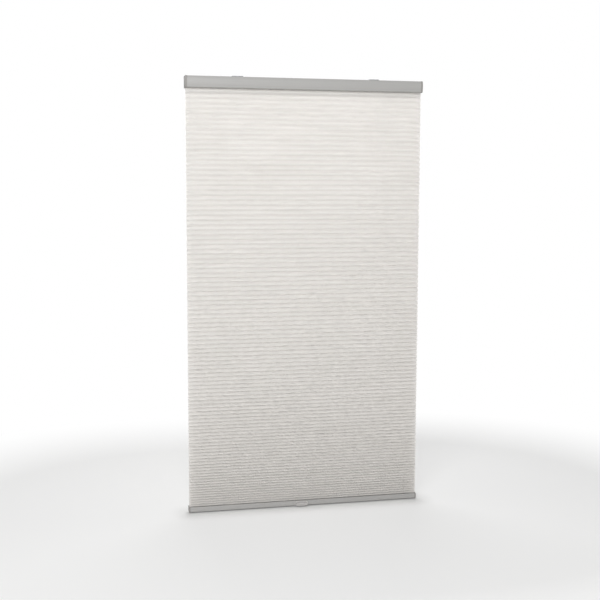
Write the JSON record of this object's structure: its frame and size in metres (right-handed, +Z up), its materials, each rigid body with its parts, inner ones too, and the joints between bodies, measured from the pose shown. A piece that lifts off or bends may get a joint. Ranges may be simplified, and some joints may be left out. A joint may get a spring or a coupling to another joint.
{
  "type": "cellular shade",
  "caption": "Cordless cellular shade: clip-in headrail with a spring motor, honeycomb fabric cells on hidden lift cords, and a bottom rail raised by a dished finger pull.",
  "frame": {"origin": "centre of the bracket screw pattern, on the mounting plane where the bracket tops meet the window head", "axes": "+Z up, from the bottom rail to the headrail; +Y from the room towards the window; +X along the headrail, to the right as seen from the room"},
  "size_m": [0.673, 0.0389, 1.219],
  "materials": {
    "grey_aluminium": "satin",
    "grey_plastic": "satin",
    "bracket_steel": "satin",
    "motor_plastic": "matte",
    "plain_steel": "satin",
    "spring_steel": "satin",
    "drum_plastic": "satin",
    "lift_cord": "matte",
    "strip_plastic": "matte",
    "cell_fabric": "matte",
    "handle_plastic": "satin"
  },
  "bodies": {
    "headrail": {"headrail": "grey_aluminium", "left_headrail_end_cap": "grey_plastic", "right_headrail_end_cap": "grey_plastic", "left_mounting_bracket": "bracket_steel", "right_mounting_bracket": "bracket_steel", "spring_motor_base": "motor_plastic", "spring_motor_cover": "motor_plastic", "motor_cover_screws": "plain_steel", "drive_spring": "spring_steel", "left_cord_guide": "motor_plastic", "right_cord_guide": "motor_plastic", "left_pulley_pin": "plain_steel", "right_pulley_pin": "plain_steel", "left_lift_cord": "lift_cord", "right_lift_cord": "lift_cord", "top_fabric_strip": "strip_plastic", "cell_fabric": "cell_fabric"},
    "bottom_rail": {"bottom_rail": "grey_aluminium", "left_rail_end_cap": "grey_plastic", "right_rail_end_cap": "grey_plastic", "bottom_fabric_strip": "strip_plastic", "lift_handle": "handle_plastic", "left_cord_washer": "plain_steel", "right_cord_washer": "plain_steel", "left_rail_plug": "grey_plastic", "right_rail_plug": "grey_plastic"},
    "output_drum": {"output_drum": "drum_plastic"},
    "storage_drum": {"storage_drum": "drum_plastic"},
    "left_cord_spool": {"left_cord_spool": "drum_plastic"},
    "right_cord_spool": {"right_cord_spool": "drum_plastic"},
    "left_guide_pulley": {"left_guide_pulley": "drum_plastic"},
    "right_guide_pulley": {"right_guide_pulley": "drum_plastic"}
  },
  "joints": [
    {"name": "lift", "type": "slide", "parent": "headrail", "child": "bottom_rail", "axis": [0, 0, 1], "range_m": [0, 1.105], "deforming": ["cell_fabric", "left_lift_cord", "right_lift_cord"]},
    {"name": "left_cord_spool_turn", "type": "hinge", "parent": "headrail", "child": "left_cord_spool", "pos_m": [-0.033, 0, -0.0148], "axis": [0, 0, 1], "range_deg": [-7290, 0]},
    {"name": "output_drum_turn", "type": "hinge", "parent": "headrail", "child": "output_drum", "pos_m": [-0.011, 0, -0.0148], "axis": [0, 0, 1], "range_deg": [0, 7290]},
    {"name": "storage_drum_turn", "type": "hinge", "parent": "headrail", "child": "storage_drum", "pos_m": [0.011, 0, -0.0148], "axis": [0, 0, 1], "range_deg": [-7290, 0]},
    {"name": "right_cord_spool_turn", "type": "hinge", "parent": "headrail", "child": "right_cord_spool", "pos_m": [0.033, 0, -0.0148], "axis": [0, 0, 1], "range_deg": [0, 7290]},
    {"name": "left_guide_pulley_turn", "type": "hinge", "parent": "headrail", "child": "left_guide_pulley", "pos_m": [-0.2353, 0, -0.0195], "axis": [0, 1, 0], "range_deg": [0, 13480]},
    {"name": "right_guide_pulley_turn", "type": "hinge", "parent": "headrail", "child": "right_guide_pulley", "pos_m": [0.2353, 0, -0.0195], "axis": [0, 1, 0], "range_deg": [-13480, 0]}
  ],
  "couplings": [
    {"joint": "left_cord_spool_turn", "follows": "lift", "rad_per_m": -114.94},
    {"joint": "output_drum_turn", "follows": "lift", "rad_per_m": 114.94},
    {"joint": "storage_drum_turn", "follows": "lift", "rad_per_m": -114.94},
    {"joint": "right_cord_spool_turn", "follows": "lift", "rad_per_m": 114.94},
    {"joint": "left_guide_pulley_turn", "follows": "lift", "rad_per_m": 212.77},
    {"joint": "right_guide_pulley_turn", "follows": "lift", "rad_per_m": -212.77}
  ]
}
